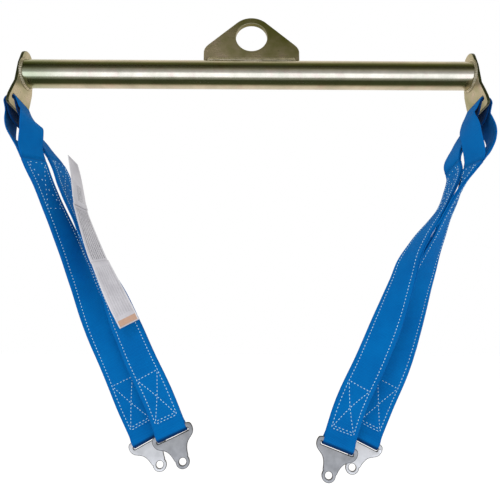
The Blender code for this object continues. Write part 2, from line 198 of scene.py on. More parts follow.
class Course:
    """The centreline of a strip from its slot, in millimetres, with its width's direction."""

    def __init__(self, start, side, rows):
        dense = smooth_rows(rows, 1.0)
        self.side = side
        self.points = start + np.stack([-side * dense[:, 1], dense[:, 2], -dense[:, 0]], axis=1)
        self.turn = np.radians(dense[:, 3])
        hops = np.linalg.norm(np.diff(self.points, axis=0), axis=1)
        self.along = np.concatenate([[0.0], np.cumsum(hops)])
        self.length = float(self.along[-1])

    def _read(self, s):
        return np.stack([np.interp(s, self.along, self.points[:, k]) for k in range(3)], axis=-1)

    def axes(self, s):
        """Unit vectors along the strip, across it and off its face, at each distance."""
        inside = np.clip(s, 0.0, self.length)
        ahead, behind = np.minimum(inside + 2, self.length), np.maximum(inside - 2, 0)
        down = self._read(ahead) - self._read(behind)
        down /= np.linalg.norm(down, axis=-1, keepdims=True)
        turn = np.interp(inside, self.along, self.turn)
        wide = np.stack([-self.side * np.cos(turn), np.sin(turn), np.zeros_like(turn)], axis=-1)
        wide -= (wide * down).sum(-1, keepdims=True) * down
        wide /= np.linalg.norm(wide, axis=-1, keepdims=True)
        return down, wide, -self.side * np.cross(down, wide)

    def place(self, s, off, across):
        """Points at a distance along, off the face and across the width."""
        s, off, across = np.broadcast_arrays(
            np.asarray(s, float), np.asarray(off, float), np.asarray(across, float)
        )
        down, wide, face = self.axes(s)
        inside = np.clip(s, 0.0, self.length)
        return (
            self._read(inside) + (s - inside)[..., None] * down
            + off[..., None] * face + across[..., None] * wide
        )


# ---------------------------------------------------------------- node materials


class Nodes:
    """A Principled material and short calls that add nodes to it."""

    def __init__(self, name, **fixed):
        self.material = bpy.data.materials.new(name)
        self.material.use_nodes = True
        self.tree = self.material.node_tree
        self.shader = self.tree.nodes["Principled BSDF"]
        for socket, value in fixed.items():
            self.shader.inputs[socket.replace("_", " ")].default_value = value

    def node(self, kind, settings=None, **inputs):
        made = self.tree.nodes.new("ShaderNode" + kind)
        for key, value in (settings or {}).items():
            setattr(made, key, value)
        for key, value in inputs.items():
            self.put(made.inputs[key.replace("_", " ")], value)
        return made

    def put(self, socket, value):
        if isinstance(value, bpy.types.NodeSocket):
            self.tree.links.new(value, socket)
        else:
            socket.default_value = value

    def math(self, operation, a, b=0.0, c=0.0):
        made = self.tree.nodes.new("ShaderNodeMath")
        made.operation = operation
        for socket, value in zip(made.inputs, (a, b, c)):
            self.put(socket, value)
        return made.outputs[0]

    def mix(self, share, a, b):
        made = self.tree.nodes.new("ShaderNodeMix")
        made.data_type = "RGBA"
        self.put(made.inputs["Factor"], share)
        self.put(made.inputs["A"], a)
        self.put(made.inputs["B"], b)
        return made.outputs["Result"]

    def noise(self, vector, scale, detail=2.0, rough=0.5):
        made = self.node("TexNoise", Vector=vector, Scale=scale, Detail=detail, Roughness=rough)
        return made.outputs["Fac"]

    def spread(self, value, low, high, start=0.0, end=1.0):
        made = self.node("MapRange")
        ends = {"From Min": low, "From Max": high, "To Min": start, "To Max": end}
        for key, number in ends.items():
            made.inputs[key].default_value = number
        self.put(made.inputs["Value"], value)
        return made.outputs["Result"]

    def within(self, value, low, high):
        """1 between low and high, and 0 elsewhere."""
        above = self.math("GREATER_THAN", value, low)
        return self.math("MULTIPLY", above, self.math("LESS_THAN", value, high))

    def object_point(self, stretch=(1.0, 1.0, 1.0)):
        source = self.node("TexCoord").outputs["Object"]
        made = self.node("Mapping", Vector=source)
        made.inputs["Scale"].default_value = stretch
        return made.outputs["Vector"]

    def place(self, axis):
        """How far along one axis of the object, in metres."""
        return self.node("SeparateXYZ", Vector=self.object_point()).outputs[axis]

    def cloth_point(self):
        """Millimetres across and along the cloth."""
        source = self.node("UVMap", {"uv_map": "cloth"}).outputs["UV"]
        split = self.node("SeparateXYZ", Vector=source)
        return source, split.outputs["X"], split.outputs["Y"]

    def attribute(self, name):
        return self.node("Attribute", {"attribute_name": name}).outputs["Fac"]

    def bump(self, height, distance, strength=1.0, under=None):
        made = self.node("Bump", Height=height, Distance=distance, Strength=strength)
        if under is not None:
            self.put(made.inputs["Normal"], under)
        return made.outputs["Normal"]

    def finish(self, **inputs):
        for key, value in inputs.items():
            self.put(self.shader.inputs[key.replace("_", " ")], value)
        return self.material


def rgb(r, g, b):
    return (r, g, b, 1.0)


# Where the plating changes colour, in metres
FADE_RISE = (-0.045, 0.02)  # up the eye plate
FADE_ACROSS = (-0.05, 0.06)  # along the bar, on the eye plate
GREEN_REACH = (-0.29, -0.36)  # along the bar, towards its left end


def webbing_material():
    """Blue polyester webbing: fine warp ribs crossed by picks, with a firmer selvedge."""
    m = Nodes("webbing_blue", Sheen_Weight=0.01, Sheen_Roughness=0.5, Specular_IOR_Level=0.05)
    source, across, along = m.cloth_point()
    rib = m.math("ABSOLUTE", m.math("SINE", m.math("MULTIPLY", across, math.pi / RIB_PITCH)))
    shift = m.math("MULTIPLY", m.math("FLOOR", m.math("DIVIDE", across, RIB_PITCH)), math.pi)
    pick = m.math("MULTIPLY_ADD", along, 2 * math.pi / PICK_PITCH, shift)
    pick = m.math("SINE", pick)
    weave = m.math("MULTIPLY", rib, m.math("MULTIPLY_ADD", pick, 0.35, 0.65))
    patch = m.noise(m.object_point(), 22.0, 3.0, 0.55)
    fibre = m.noise(source, 2.2, 2.0, 0.6)
    base = m.mix(m.spread(weave, 0.0, 0.7), rgb(0.0, 0.066, 0.25), rgb(0.0, 0.132, 0.41))
    light = m.mix(m.spread(patch, 0.35, 0.68, 0.0, 0.35), base, rgb(0.0, 0.160, 0.46))
    shade = m.mix(m.spread(fibre, 0.2, 0.45, 0.25, 0.0), light, rgb(0.0, 0.06, 0.24))
    selvedge_and_shade = m.mix(m.math("MULTIPLY", m.attribute("selvedge"), 0.28), shade, rgb(0.0, 0.06, 0.26))
    # painted shade: dark navy inside the eye loops, at each sleeve's hem and under the link's bar
    selvedge_and_shade = m.mix(m.math("MULTIPLY", m.attribute("painted_shade"), 0.9), selvedge_and_shade, rgb(0.0, 0.010, 0.06))
    rough = m.spread(fibre, 0.3, 0.7, 0.72, 0.9)
    low = m.bump(m.noise(m.object_point(), 60.0, 2.0), 0.0006, 0.35)
    fine = m.bump(weave, 0.00022, 0.8, low)
    return m.finish(Base_Color=selvedge_and_shade, Roughness=rough, Normal=fine)


def thread_material():
    """White bonded thread with a two-ply twist."""
    m = Nodes("thread_white", Sheen_Weight=0.1, Specular_IOR_Level=0.4)
    source, around, along = m.cloth_point()
    twist = m.math("SINE", m.math("ADD", m.math("MULTIPLY", along, 7.0), around))
    soil = m.noise(m.object_point(), 90.0, 2.0)
    soiled = m.spread(soil, 0.4, 0.75, 0.0, 0.5)
    colour = m.mix(soiled, rgb(0.52, 0.78, 0.88), rgb(0.30, 0.56, 0.74))
    return m.finish(
        Base_Color=colour, Roughness=m.spread(soil, 0.3, 0.7, 0.5, 0.7),
        Normal=m.bump(twist, 0.00012, 0.6),
    )


def zinc_material(name, gold, olive, rough, along, metallic=1.0, fade=None, green=None):
    """Yellow chromated zinc: mottled gold and olive, faint draw marks, painted highlights on
    edges.

    It can fade to one colour up and along the eye plate, or to another at the bar's left end."""
    m = Nodes(name, Metallic=metallic, Specular_IOR_Level=0.5)
    cloud = m.noise(m.object_point(), 26.0, 4.0, 0.6)
    blush = m.noise(m.object_point(), 70.0, 3.0, 0.55)
    drawn = m.noise(m.object_point(along), 420.0, 3.0, 0.6)
    colour = m.mix(m.spread(cloud, 0.35, 0.65), rgb(*gold), rgb(*olive))
    colour = m.mix(m.spread(blush, 0.5, 0.72, 0.0, 0.42), colour, rgb(0.62, 0.46, 0.40))
    if fade:
        rise = m.spread(m.place("Z"), *FADE_RISE, 0.0, 0.62)
        along_bar = m.spread(m.place("X"), *FADE_ACROSS, 0.0, 0.42)
        blotch = m.spread(cloud, 0.3, 0.7, -0.15, 0.15)
        share = m.math("ADD", m.math("ADD", rise, along_bar), blotch)
        colour = m.mix(m.math("MAXIMUM", share, 0.0), colour, rgb(*fade))
    if green:
        colour = m.mix(m.spread(m.place("X"), *GREEN_REACH, 0.0, 0.6), colour, rgb(*green))
    # painted highlight: the rounded edges made lighter
    colour = m.mix(m.math("MULTIPLY", m.attribute("edge"), 0.22), colour, rgb(0.60, 0.56, 0.44))
    # painted shade: the end plates' edges and slot walls made nearly black
    colour = m.mix(m.math("MULTIPLY", m.attribute("cut_shade"), 0.95), colour, rgb(0.03, 0.04, 0.008))
    gloss = m.math("ADD", m.spread(cloud, 0.3, 0.7, rough - 0.05, rough + 0.06),
                   m.spread(drawn, 0.3, 0.7, -0.03, 0.03))
    pits = m.bump(blush, 0.0004, 0.25)
    return m.finish(Base_Color=colour, Roughness=gloss, Normal=m.bump(drawn, 0.00008, 0.35, pits))


def weld_material():
    """Plated weld metal, duller between its ripples."""
    m = Nodes("weld_bead", Metallic=0.9, Specular_IOR_Level=0.5)
    cloud = m.noise(m.object_point(), 120.0, 3.0, 0.6)
    colour = m.mix(m.spread(cloud, 0.35, 0.7), rgb(0.72, 0.65, 0.48), rgb(0.48, 0.44, 0.30))
    spatter = m.noise(m.object_point(), 650.0, 2.0)
    return m.finish(
        Base_Color=colour, Roughness=m.spread(cloud, 0.3, 0.7, 0.34, 0.5),
        Normal=m.bump(spatter, 0.0003, 0.3),
    )


def link_material(name, light, dark):
    """Satin zinc on stamped steel, painted shade on the rolled edges, faint handling scratches."""
    m = Nodes(name, Metallic=1.0, Specular_IOR_Level=0.5)
    cloud = m.noise(m.object_point(), 60.0, 3.0, 0.55)
    scratch = m.noise(m.object_point((1.0, 1.0, 0.12)), 900.0, 2.0, 0.6)
    colour = m.mix(m.spread(cloud, 0.35, 0.7), rgb(*light), rgb(*dark))
    # painted shade: the rolled edges made nearly black
    colour = m.mix(m.math("MULTIPLY", m.attribute("edge"), 0.95), colour, rgb(0.07, 0.07, 0.075))
    dulled = m.spread(scratch, 0.35, 0.7, 0.0, 0.06)
    gloss = m.math("ADD", m.spread(cloud, 0.3, 0.7, 0.26, 0.36), dulled)
    return m.finish(Base_Color=colour, Roughness=gloss, Normal=m.bump(scratch, 0.00005, 0.4))


def label_material():
    """Pale printed tape: short rows of unreadable print and a tan band near the end."""
    m = Nodes("label_tape", Sheen_Weight=0.05, Specular_IOR_Level=0.35)
    source, across, along = m.cloth_point()
    row = m.math("FRACT", m.math("DIVIDE", across, PRINT_PITCH))
    inked = m.math("LESS_THAN", row, 0.55)
    stretched = m.node("Mapping", Vector=source)
    stretched.inputs["Scale"].default_value = (0.35, 0.9, 1.0)
    letters = m.math("GREATER_THAN", m.noise(stretched.outputs["Vector"], 1.15, 3.0, 0.75), 0.46)
    from_middle = m.math("ABSOLUTE", across)
    margin = m.math("LESS_THAN", from_middle, LABEL_W / 2 - PRINT_MARGIN)
    stamp = m.math("MULTIPLY", m.within(along, *STAMP_ALONG), m.within(across, *STAMP_ACROSS))
    faint = m.math("MULTIPLY", m.within(along, *PRINT_FAINT), 0.3)
    zone = m.math("MAXIMUM", m.math("MAXIMUM", m.within(along, *PRINT_DENSE), stamp), faint)
    ink = m.math("MULTIPLY", m.math("MULTIPLY", inked, letters), margin)
    ink = m.math("MULTIPLY", m.math("MULTIPLY", ink, zone), 0.7)
    soil = m.noise(m.object_point(), 45.0, 3.0)
    tape = m.mix(m.spread(soil, 0.35, 0.7), rgb(0.52, 0.51, 0.54), rgb(0.42, 0.41, 0.44))
    rim = m.math("GREATER_THAN", from_middle, LABEL_W / 2 - LABEL_RIM)
    colour = m.mix(m.math("MULTIPLY", rim, 0.6), tape, rgb(0.62, 0.62, 0.64))
    band = m.math("MULTIPLY", m.within(along, *LABEL_BAND), m.math("SUBTRACT", 1.0, rim))
    colour = m.mix(m.math("MULTIPLY", band, 0.9), colour, rgb(0.44, 0.26, 0.17))
    colour = m.mix(ink, colour, rgb(0.10, 0.10, 0.11))
    grain = m.noise(source, 3.0, 2.0)
    return m.finish(
        Base_Color=colour, Roughness=m.spread(soil, 0.3, 0.7, 0.45, 0.6),
        Normal=m.bump(grain, 0.00008, 0.4),
    )


# ---------------------------------------------------------------- mesh helpers


def new_piece(name, mesh, material):
    """A smooth-shaded object in the scene, with one material."""
    mesh.materials.clear()
    mesh.materials.append(material)
    mesh.shade_smooth()
    made = bpy.data.objects.new(name, mesh)
    bpy.context.scene.collection.objects.link(made)
    return made


def loft(name, rings, us, vs, closed, material, marks=None):
    """A tube through rings of points in millimetres, with cloth coordinates in millimetres.

    us has one value more than a ring has points, and vs one per ring, or one more if the path is
    closed. marks gives named values at each point of a ring, or at each point of each ring."""
    rings = np.asarray(rings, float)
    count, size = rings.shape[:2]
    faces, corners = [], []
    for i in range(count if closed else count - 1):
        a, b = i * size, (i + 1) % count * size
        for k in range(size):
            n = (k + 1) % size
            faces.append((a + k, a + n, b + n, b + k))
            for u, v in ((k, i), (k + 1, i), (k + 1, i + 1), (k, i + 1)):
                corners.append((us[u], vs[v]))
    if not closed:
        for i, order in ((0, range(size - 1, -1, -1)), (count - 1, range(size))):
            faces.append(tuple(i * size + k for k in order))
            corners += [(us[k], vs[i]) for k in order]
    mesh = bpy.data.meshes.new(name)
    mesh.from_pydata((rings.reshape(-1, 3) * MM).tolist(), [], faces)
    layer = mesh.uv_layers.new(name="cloth")
    layer.data.foreach_set("uv", np.array(corners, np.float32).ravel())
    for word, values in (marks or {}).items():
        value = mesh.attributes.new(word, "FLOAT", "POINT")
        spread = np.broadcast_to(np.asarray(values, np.float32), (count, size))
        value.data.foreach_set("value", spread.ravel())
    turn_outwards(mesh)
    return new_piece(name, mesh, material)


def turn_outwards(mesh):
    """Make every face of a closed mesh face out."""
    work = bmesh.new()
    work.from_mesh(mesh)
    bmesh.ops.recalc_face_normals(work, faces=work.faces)
    work.to_mesh(mesh)
    work.free()


def mirror_section(quarter):
    """A closed section from its upper right quarter, given from the middle to the edge."""
    upper = [(-x, z) for x, z in reversed(quarter[1:])] + list(quarter)
    lower = [(x, -z) for x, z in reversed(upper) if abs(z) > 1e-9]
    return np.array(upper + lower)


def section_marks(section):
    """Distance round a section, and how near each of its points is to the webbing's edge."""
    hops = np.linalg.norm(np.roll(section, -1, axis=0) - section, axis=1)
    start, full = SELVEDGE
    edge = np.clip((np.abs(section[:, 0]) - start) / (full - start), 0, 1)
    return np.concatenate([[0.0], np.cumsum(hops)]), edge


def half_turn(radius, steps):
    """Half a circle as (distance ahead, offset), from the positive offset to the negative."""
    angles = np.radians(np.linspace(0, 180, steps + 1))
    return [(radius * math.sin(a), radius * math.cos(a)) for a in angles]


HALF_WEB = WEB_W / 2
PLY_SECTION = mirror_section([
    (0.0, 1.2), (7.0, 1.2), (14.0, 1.2), (19.0, 1.22), (21.0, 1.25),
    (21.9, 0.95), (HALF_WEB, 0.35),
])


def ply_strip(name, course, path, material, painted_shade=None, splay=0.0):
    """One ply of webbing along an open path of (distance, offset).

    An optional function gives how much shade is painted on each point from its distance and side,
    and splay pushes the back edge of the ply on the negative side away from the centreline."""
    path = np.array(path, float)
    way = np.gradient(path, axis=0)
    normal = np.stack([way[:, 1], -way[:, 0]], axis=1)
    normal /= np.linalg.norm(normal, axis=1)[:, None]
    across, lift = PLY_SECTION[:, 0], PLY_SECTION[:, 1]
    s = path[:, None, 0] + lift[None, :] * normal[:, None, 0]
    off = path[:, None, 1] + lift[None, :] * normal[:, None, 1]
    swing = np.sin(np.pi * np.clip(s / EYE_LOOP_END, 0, 1)) ** 2 * (path[:, 1] < 0)[:, None]
    off = off - splay * swing * (across / HALF_WEB + 1)[None, :] / 2
    rings = course.place(s, off, np.broadcast_to(across, s.shape))
    hops = np.linalg.norm(np.diff(path, axis=0), axis=1)
    us, marks = section_marks(PLY_SECTION)
    shown = {"selvedge": marks}
    if painted_shade:
        side = np.broadcast_to(np.sign(path[:, 1])[:, None], s.shape)
        shown["painted_shade"] = painted_shade(s, side, np.broadcast_to(lift, s.shape))
    return loft(name, rings, us, np.concatenate([[0.0], np.cumsum(hops)]), False, material, shown)


def eye_loop(name, course, radius, opening, material, splay):
    """Two strands that leave the sleeve, splay, and meet round the slot's bar."""
    mid, close = radius + PLY / 2, PLY / 2
    turn = [(-s, off) for s, off in half_turn(mid, TURN_STEPS)]
    rows = np.array([(0, mid, mid), *opening, (EYE_LOOP_END, close, close)], float)
    at = np.arange(STEP, EYE_LOOP_END, STEP)
    inner = list(zip(at, smooth_line(rows[:, 0], rows[:, 2], at)))
    outer = list(zip(at, -smooth_line(rows[:, 0], rows[:, 1], at)))
    tucked = EYE_LOOP_END + TUCK
    path = [(tucked, close - 0.05), *reversed(inner), *turn, *outer, (tucked, -close + 0.05)]
    nested = radius < COVER_R

    def painted_shade(s, side, lift):
        """Painted shade inside the cover loop, and on the loop it hides until that comes out
        behind.
        """
        if nested:
            return 0.95 * np.clip((70.0 - s) / 35.0, 0, 1)
        near_slot = np.clip((34.0 - s) / 20.0, 0, 1)
        within = np.where(side > 0, np.clip((96.0 - s) / 40.0, 0, 1), near_slot)
        return np.clip(-lift, 0, 1) * within

    return ply_strip(name, course, path, material, painted_shade, splay)


def end_loop(name, course, start, material):
    """Both plies below the sleeve, and their turn round the link's bar."""
    mid, close = LINK_LOOP_R + PLY / 2, PLY / 2
    bar_at = course.length
    reach = bar_at - start
    rows = np.array([
        (start - TUCK, close - 0.05), (start + 0.1 * reach, close + 0.05),
        (start + 0.35 * reach, close + 0.6), (start + 0.6 * reach, (close + mid) / 2 + 0.7),
        (bar_at - 3, mid - 0.1),
    ])
    at = np.linspace(start - TUCK, bar_at - 3, 14)
    offs = smooth_line(rows[:, 0], rows[:, 1], at)
    turn = [(bar_at + s, off) for s, off in half_turn(mid, TURN_STEPS)]
    path = [*zip(at, offs), *turn, *zip(at[::-1], -offs[::-1])]

    def painted_shade(s, _side, _lift):
        """Painted shade where the cloth turns under the bar."""
        return 0.95 * np.clip((s - bar_at - 0.5) / 3.0, 0, 1)

    return ply_strip(name, course, path, material, painted_shade)


class Sleeve:
    """The doubled part of a sling: its half-thickness and how its middle is pushed about."""

    QUARTER = [
        (0.0, 2.72), (6.0, 2.72), (11.0, 2.68), (14.4, 2.62), (15.4, 2.5),
        (HALF_WEB - EDGE_ROW, 2.38), (16.8, 2.5), (18.0, 2.6), (20.2, 2.6), (21.4, 2.45),
        (22.0, 2.0), (HALF_WEB, 1.35), (21.95, 0.75), (21.2, 0.25), (20.6, 0.0),
    ]
    FACE_POINTS = 12  # of the section, before it turns in between the plies

    def __init__(self, course, name):
        self.course = course
        self.section = mirror_section(self.QUARTER)
        self.start, self.end = EYE_LOOP_END, course.length - END_LOOP
        self.creases = CREASES[name]
        self.seed = 3.7 * list(COURSES).index(name)

    def shift(self, s, across):
        """How far creases and slow waves push both plies off the centreline."""
        total = 0.28 * np.sin(s / 23.0 + self.seed) * np.sin(across / 13.0 + s / 41.0 + self.seed)
        total += 0.16 * np.sin(s / 9.5 + across / 7.0 + 2 * self.seed)
        for at, middle, slant, reach, depth in self.creases:
            a = math.radians(slant)
            ahead = (s - at) * math.cos(a) + (across - middle) * math.sin(a)
            beside = -(s - at) * math.sin(a) + (across - middle) * math.cos(a)
            fold = -np.exp(-((ahead / 3.2) ** 2)) + 0.55 * np.exp(-(((ahead - 6.5) / 4.5) ** 2))
            total += depth * fold * np.exp(-((beside / reach) ** 2))
        ends = np.clip((s - self.start) / 30.0, 0, 1) * np.clip((self.end - s) / 30.0, 0, 1)
        return total * ends

    def half(self, across):
        """Half-thickness under a point of the upper face."""
        x, z = np.array(self.QUARTER[:self.FACE_POINTS]).T
        return np.interp(np.abs(across), x, z)

    def on_face(self, s, across, sign, lift=0.0):
        """Points on the front or back face."""
        off = sign * (self.half(across) + lift) + self.shift(s, across)
        return self.course.place(s, off, across)

    def build(self, name, material):
        """The sleeve's mesh, thin above its hem and a little rounded at its ends."""
        hem = self.start + HEM
        inner = np.arange(hem + STEP, self.end - 2, STEP)
        head = [self.start, self.start + 0.6, self.start + 3, self.start + 6, hem - 0.4, hem]
        stations = np.array([*head, hem + 0.6, *inner, self.end - 0.6, self.end])
        lip = np.ones_like(stations)
        lip[:6] = (0.55, 0.72, 0.76, 0.78, 0.78, 0.9)
        lip[-1] = 0.93
        # painted shade in a narrow band along the hem's fold
        shade = 0.45 * np.exp(-(((stations - hem + 0.3) / 0.9) ** 2))
        across, z = self.section[:, 0], self.section[:, 1]
        s = np.broadcast_to(stations[:, None], (len(stations), len(z)))
        off = z[None, :] * lip[:, None] + self.shift(s, across[None, :])
        rings = self.course.place(s, off, np.broadcast_to(across, s.shape))
        us, marks = section_marks(self.section)
        shown = {"selvedge": marks, "painted_shade": np.broadcast_to(shade[:, None], s.shape)}
        return loft(name, rings, us, stations, False, material, shown)


def stitch_line(start, end, sleeve, sign, pitch=STITCH_PITCH):
    """Stitches from one (distance, across) to another on a face: place, direction and face."""
    start, end = np.array(start, float), np.array(end, float)
    count = max(int(round(np.linalg.norm(end - start) / pitch)), 1)
    heading = (end - start) / np.linalg.norm(end - start)
    half = heading * STITCH_LENGTH / 2
    found = []
    for k in range(count):
        middle = start + (end - start) * (k + 0.5) / count
        found.append([
            sleeve.on_face(*(middle + share * half), sign, lift) for share, lift in STITCH_ARCH
        ])
    return found


def sleeve_stitches(sleeve):
    """Two edge rows, the box under the eye and the crossed box over the link, on both faces."""
    row = HALF_WEB - EDGE_ROW
    inner = row - 1.2
    top, low = sleeve.start + TOP_BOX[0], sleeve.start + TOP_BOX[1]
    high, base = sleeve.end - END_BOX[0], sleeve.end - END_BOX[1]
    edges = [((top, x), (base, x)) for x in (-row, row)]
    loose = [((top + 2, -inner), (low - 2, inner)), ((top + 2, inner), (low - 2, -inner))]
    loose += [((top, -inner), (top, inner)), ((low, -inner), (low, inner))]
    crossed = [((high, -inner), (high, inner)), ((base, -inner), (base, inner))]
    crossed += [((base - 3.4, -inner + 1.5), (base - 3.4, inner - 1.5))]
    crossed += [((high + 2, -inner), (base - 3, inner)), ((high + 2, inner), (base - 3, -inner))]
    found = []
    for sign in (-1, 1):
        for lines, pitch in ((edges + crossed, STITCH_PITCH), (loose, LOOSE_PITCH)):
            for start, end in lines:
                found += stitch_line(start, end, sleeve, sign, pitch)
    return found


def thread_mesh(name, stitches, material):
    """Round stitches through five points each, with their ends sunk into the cloth."""
    points = np.array(stitches)
    count = len(points)
    way = points[:, -1] - points[:, 0]
    way /= np.linalg.norm(way, axis=1)[:, None]
    bow = points[:, 2] - (points[:, 0] + points[:, -1]) / 2
    bow -= (bow * way).sum(1, keepdims=True) * way
    bow /= np.linalg.norm(bow, axis=1)[:, None]
    side = np.cross(way, bow)
    sides, radii = 6, THREAD_R * np.array(THREAD_TAPER)
    angles = (2 * np.pi * np.arange(sides) / sides)[None, :, None]
    ring = np.cos(angles) * side[:, None, :] + np.sin(angles) * bow[:, None, :]
    cloud = points[:, :, None, :] + radii[None, :, None, None] * ring[:, None, :, :]
    steps = len(radii)
    pattern, corners = [], []
    for i in range(steps - 1):
        low, high = i * sides, (i + 1) * sides
        for k in range(sides):
            n = (k + 1) % sides
            pattern.append((low + k, low + n, high + n, high + k))
            corners += [(k, i), (k + 1, i), (k + 1, i + 1), (k, i + 1)]
    caps = [tuple(range(sides - 1, -1, -1)), tuple(range((steps - 1) * sides, steps * sides))]
    faces = [
        tuple(v + j * steps * sides for v in f) for j in range(count) for f in (*pattern, *caps)
    ]
    uv = np.array(corners, np.float32) * (THREAD_TURN, STITCH_LENGTH / (steps - 1))
    uv = np.concatenate([uv, np.zeros((2 * sides, 2))])
    mesh = bpy.data.meshes.new(name)
    mesh.from_pydata((cloud.reshape(-1, 3) * MM).tolist(), [], faces)
    layer = mesh.uv_layers.new(name="cloth")
    layer.data.foreach_set("uv", np.tile(uv, (count, 1)).astype(np.float32).ravel())
    turn_outwards(mesh)
    return new_piece(name, mesh, material)


# Steel edges, with radii in metres
TUBE_EDGE, EYE_EDGE, PLATE_EDGE, LINK_EDGE = 0.0006, 0.0011, 0.0009, 0.0009
SHARP = 40.0  # degrees between faces, from which an edge is rounded
CUT_FACING = 0.75  # cosine to the axis, below which a face gets painted shade
ALONG_BAR = (1.0, 0.0, 0.0)


def rounded_copy(node, name, width, material, cut_across=None):
    """A CAD piece, riding where it does, with rounded edges marked for painted highlight and
    shade.

    With cut_across, faces that don't face along that axis get a mark that paints shade on them."""
    mesh = frame["nodes"][node].data.copy()
    work = bmesh.new()
    work.from_mesh(mesh)
    bmesh.ops.remove_doubles(work, verts=work.verts, dist=1e-6)
    bmesh.ops.dissolve_limit(
        work, angle_limit=math.radians(0.5), verts=work.verts, edges=work.edges
    )
    # marks the rounded edges: painted highlight on the zinc, painted shade on the links
    layer = work.faces.layers.float.new("edge")
    sharp = [e for e in work.edges if e.calc_face_angle(0.0) > math.radians(SHARP)]
    made = bmesh.ops.bevel(
        work, geom=sharp, offset=width, offset_type="OFFSET", segments=3, profile=0.5,
        affect="EDGES", clamp_overlap=False,
    )
    for f in made["faces"]:
        f[layer] = 1.0
    # marks faces for painted shade: the end plates' edges and slot walls
    if cut_across:
        cut_shade = work.faces.layers.float.new("cut_shade")
        work.normal_update()
        for f in work.faces:
            f[cut_shade] = float(abs(f.normal.dot(Vector(cut_across))) < CUT_FACING)
    bmesh.ops.triangulate(work, faces=[f for f in work.faces if len(f.verts) > 4])
    work.to_mesh(mesh)
    work.free()
    piece = new_piece(name, mesh, material)
    mesh.set_sharp_from_angle(angle=math.radians(50))
    piece.modifiers.new("normals", "WEIGHTED_NORMAL").keep_sharp = True
    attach(piece, frame["nodes"][node]["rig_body"])
    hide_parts(node)
    return piece


def rippled(name, rings, node, material):
    """A weld bead through rings of points in metres."""
    rings = np.asarray(rings)
    count, size = rings.shape[:2]
    closed = bool(np.allclose(rings[0], rings[-1]))
    if closed:
        rings, count = rings[:-1], count - 1
    us, vs = np.arange(size + 1.0), np.arange(count + 1.0)
    piece = loft(name, rings / MM, us, vs, closed, material)
    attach(piece, "bar")
    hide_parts(node)
    return piece


# Weld beads
RIPPLE_RINGS = 6  # from one ripple's crest to the next
END_WELD_RINGS, EYE_WELD_RINGS = 240, 300
WELD_GAP = 0.0003  # between an eye weld and the tube, in metres
HOLLOW = 0.31  # dish of an end weld's face, against its leg
BULGE = 0.22  # swell of an eye weld's face, against its leg


def ripple(ring):
    """Height of overlapping weld ripples, 0 to 1, at a ring along the bead."""
    phase = (ring / RIPPLE_RINGS) % 1.0
    return math.sqrt(max(1.0 - (2 * phase - 1.0) ** 2, 0.0))


def end_weld(word, side, material):
    """A fillet weld round the tube's end."""
    node = word + "_end_weld"
    low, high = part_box(node)
    near = low.x if side < 0 else high.x
    leg = high.x - low.x
    axis_z = (low.z + high.z) / 2
    inner = (high.z - low.z) / 2 - leg
    rings = []
    for i in range(END_WELD_RINGS + 1):
        a = 2 * math.pi * i / END_WELD_RINGS
        swell = 0.82 + 0.18 * ripple(i % END_WELD_RINGS)
        reach = leg * (0.92 + 0.08 * math.sin(5 * a + side))
        ring = []
        for t in np.radians(np.linspace(0, 90, 6)):
            out = reach * swell * (1 - HOLLOW * math.sin(2 * t))
            x = near - side * out * math.sin(t)
            r = inner + out * math.cos(t)
            ring.append((x, r * math.cos(a), axis_z + r * math.sin(a)))
        ring.append((near, inner * math.cos(a), axis_z + inner * math.sin(a)))
        rings.append(ring)
    return rippled(word + "_end_weld_bead", rings, node, material)


def eye_weld(word, side, tube_r, axis_z, material):
    """A fillet weld between the tube and one face of the eye plate."""
    node = "eye_weld_" + word
    low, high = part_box(node)
    near = low.y if side > 0 else high.y
    leg = high.y - low.y
    seat = tube_r + WELD_GAP
    rings = []
    for i in range(EYE_WELD_RINGS + 1):
        x = low.x + (high.x - low.x) * i / EYE_WELD_RINGS
        swell = 0.84 + 0.16 * ripple(i)
        taper = min(1.0, 0.25 + min(i, EYE_WELD_RINGS - i) / 8)
        ring = []
        for t in np.linspace(0, 1, 6):
            out = leg * t * swell * taper
            y = abs(near) + out
            bulge = BULGE * math.sin(math.pi * t) * leg * taper
            floor = math.sqrt(seat**2 - y**2)
            z = floor + (1 - t) * leg * swell * taper + bulge
            ring.append((x, side * y, axis_z + z))
        for t in (0.66, 0.33, 0.0):
            y = abs(near) + leg * t * swell * taper
            ring.append((x, side * y, axis_z + math.sqrt(seat**2 - y**2)))
        rings.append(ring)
    return rippled(f"eye_weld_{word}_bead", rings, node, material)


def build_label(start, material):
    """Three overlapping panels of printed tape, joined into one strip."""
    course = Course(start, -1, LABEL_COURSE)
    parts = []
    for k, (first, last, off) in enumerate(LABEL_PANELS):
        last = min(last, course.length)
        stations = np.linspace(first, last, 40)
        half, thick = LABEL_W / 2, LABEL_T / 2
        section = mirror_section([
            (0.0, thick), (half * 0.5, thick), (half - 0.3, thick), (half, thick * 0.3),
        ])
        s = np.broadcast_to(stations[:, None], (len(stations), len(section)))
        across = np.broadcast_to(section[:, 0], s.shape)
        wave = 0.5 * np.sin(s / 17.0 + k) + 0.35 * np.sin(across / 8.0 + s / 29.0)
        fade = np.clip((s - first) / 14, 0, 1) * np.clip((last - s) / 14, 0, 1)
        rings = course.place(s, section[:, 1][None, :] + off + wave * fade, across)
        us = np.concatenate([section[:, 0], section[:1, 0]])
        parts.append(loft(f"label_part_{k}", rings, us, stations, False, material))
    work = bmesh.new()
    for part in parts:
        work.from_mesh(part.data)
    mesh = bpy.data.meshes.new("label_strip")
    work.to_mesh(mesh)
    work.free()
    for part in parts:
        bpy.data.objects.remove(part)
    label = new_piece("label_strip", mesh, material)
    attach(label, "left_inner_sling")
    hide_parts("label_upper", "label_middle", "label_lower")
    label.visible_glossy = False
    return label


